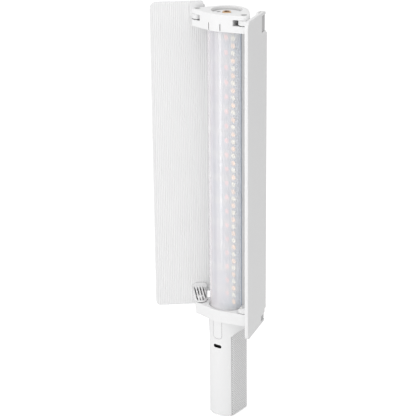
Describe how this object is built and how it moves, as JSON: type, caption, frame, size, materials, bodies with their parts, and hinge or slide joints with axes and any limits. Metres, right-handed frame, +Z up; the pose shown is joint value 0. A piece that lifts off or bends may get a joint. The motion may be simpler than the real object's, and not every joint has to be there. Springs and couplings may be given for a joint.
{
  "type": "led light tube",
  "caption": "Handheld LED tube light with a frosted round diffuser, a short grip handle and two flat barn doors that swing on vertical pins.",
  "frame": {"origin": "centre of the handle's flat base", "axes": "+Z up along the tube, -Y out of the diffuser and the charging socket, +X to the right seen from the front"},
  "size_m": [0.1306, 0.0724, 0.4341],
  "materials": {
    "white_plastic": "fine satin moulded polycarbonate",
    "door_plastic": "satin moulded sheet with fine upright ribs",
    "hinge_plastic": "matt moulded grey",
    "grip_plastic": "fine diamond knurl",
    "diffuser": "frosted translucent tube",
    "black_plastic": "satin",
    "steel": "bright",
    "brass": "turned",
    "aluminium": "extruded, clear anodised",
    "circuit_board": "solder mask",
    "led_board_white": "white solder mask",
    "cell_wrap": "shrink wrap over a metal can",
    "dark_glass": "polished, smoked"
  },
  "bodies": {
    "light": {"handle_shell": "white_plastic", "grip_panel_left": "grip_plastic", "grip_panel_right": "grip_plastic", "base_cap": "white_plastic", "base_screw_front": "steel", "base_screw_rear": "steel", "front_tongue": "white_plastic", "socket_shell": "steel", "socket_blade": "black_plastic", "battery_cell_front": "cell_wrap", "battery_cell_rear": "cell_wrap", "contact_plate_bottom": "brass", "contact_plate_top": "brass", "charge_board": "circuit_board", "control_board": "circuit_board", "control_panel": "black_plastic", "display_window": "dark_glass", "display_module": "black_plastic", "dial_encoder": "steel", "mode_switch": "steel", "power_switch": "steel", "channel_switch": "steel", "lower_bracket": "white_plastic", "top_cap": "white_plastic", "top_insert": "brass", "left_lower_hinge_pin": "steel", "left_upper_hinge_pin": "steel", "left_lower_washer": "steel", "left_upper_washer": "steel", "left_cap_screw": "steel", "right_lower_hinge_pin": "steel", "right_upper_hinge_pin": "steel", "right_lower_washer": "steel", "right_upper_washer": "steel", "right_cap_screw": "steel", "diffuser": "diffuser", "tube_housing": "white_plastic", "led_spine": "aluminium", "led_board": "led_board_white", "driver_board": "circuit_board"},
    "left_door": {"left_door_panel": "door_plastic", "left_door_upper_arm": "door_plastic", "left_door_lower_arm": "door_plastic", "left_door_upper_block": "hinge_plastic", "left_door_lower_block": "hinge_plastic"},
    "right_door": {"right_door_panel": "door_plastic", "right_door_upper_arm": "door_plastic", "right_door_lower_arm": "door_plastic", "right_door_upper_block": "hinge_plastic", "right_door_lower_block": "hinge_plastic"},
    "mode_button": {"mode_button": "white_plastic"},
    "power_button": {"power_button": "white_plastic"},
    "channel_button": {"channel_button": "white_plastic"},
    "dial_knob": {"dial_knob": "black_plastic"}
  },
  "joints": [
    {"name": "left_door_hinge", "type": "hinge", "parent": "light", "child": "left_door", "pos_m": [-0.0272, -0.0102, 0.27], "axis": [0, 0, 1], "range_deg": [-9.9, 139.6]},
    {"name": "right_door_hinge", "type": "hinge", "parent": "light", "child": "right_door", "pos_m": [0.0272, -0.0102, 0.27], "axis": [0, 0, 1], "range_deg": [-105.2, 58.8]},
    {"name": "mode_button_press", "type": "slide", "parent": "light", "child": "mode_button", "axis": [0, -1, 0], "range_m": [0, 0.0005], "stiffness_N_per_m": 800, "springref_m": -0.0005},
    {"name": "power_button_press", "type": "slide", "parent": "light", "child": "power_button", "axis": [0, -1, 0], "range_m": [0, 0.0005], "stiffness_N_per_m": 800, "springref_m": -0.0005},
    {"name": "channel_button_press", "type": "slide", "parent": "light", "child": "channel_button", "axis": [0, -1, 0], "range_m": [0, 0.0005], "stiffness_N_per_m": 800, "springref_m": -0.0005},
    {"name": "dial_turn", "type": "hinge", "parent": "light", "child": "dial_knob", "pos_m": [0, 0.0182, 0.0826], "axis": [0, 1, 0], "continuous": true}
  ]
}
